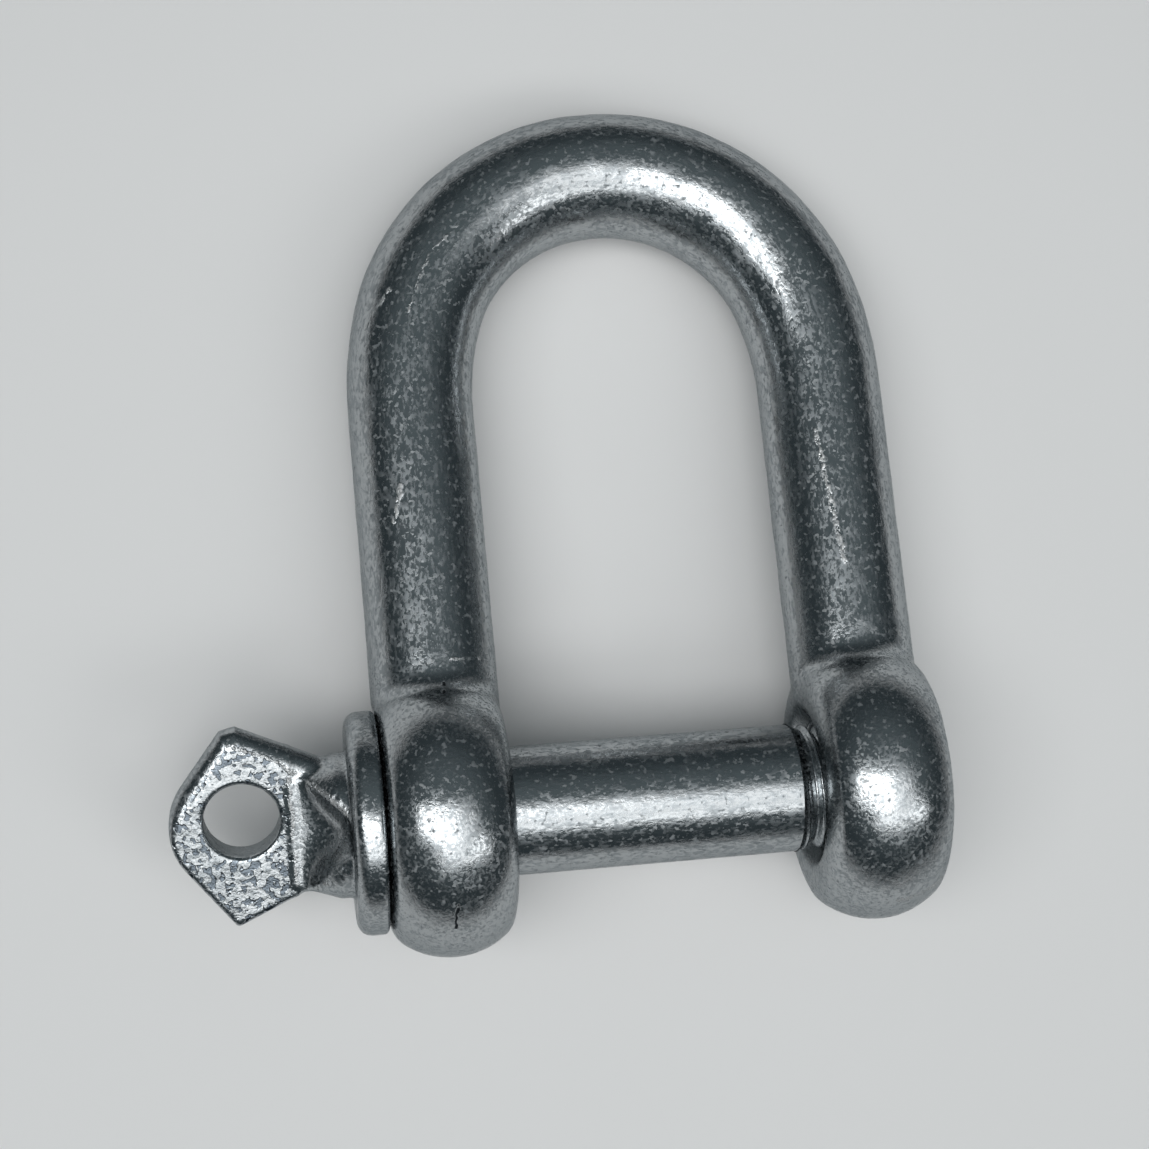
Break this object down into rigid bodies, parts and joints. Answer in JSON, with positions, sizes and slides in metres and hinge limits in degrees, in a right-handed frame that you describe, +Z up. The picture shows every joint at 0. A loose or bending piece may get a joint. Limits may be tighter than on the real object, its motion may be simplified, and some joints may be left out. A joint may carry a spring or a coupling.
{
  "type": "chain joining shackle",
  "caption": "D-shaped shackle of galvanised round bar, closed across its ears by a screw pin with a collar and a flat eye head, for joining chain.",
  "frame": {"origin": "on the pin's axis, midway between the two ears", "axes": "+X along the pin from its eye head to its threaded end, +Y level toward the crown of the bow, +Z up from the surface that the shackle lies on"},
  "size_m": [0.0596, 0.0672, 0.0216],
  "materials": {
    "body_zinc": "galvanised, mottled and lightly speckled, bright with soft highlights",
    "pin_zinc": "galvanised, mottled, brighter on the flat eye head"
  },
  "bodies": {
    "shackle": {"shackle_body": "body_zinc"},
    "pin": {"screw_pin": "pin_zinc"}
  },
  "joints": [
    {"name": "pin_withdraw", "type": "slide", "parent": "shackle", "child": "pin", "axis": [-1, 0, 0], "range_m": [0, 0.047]}
  ]
}
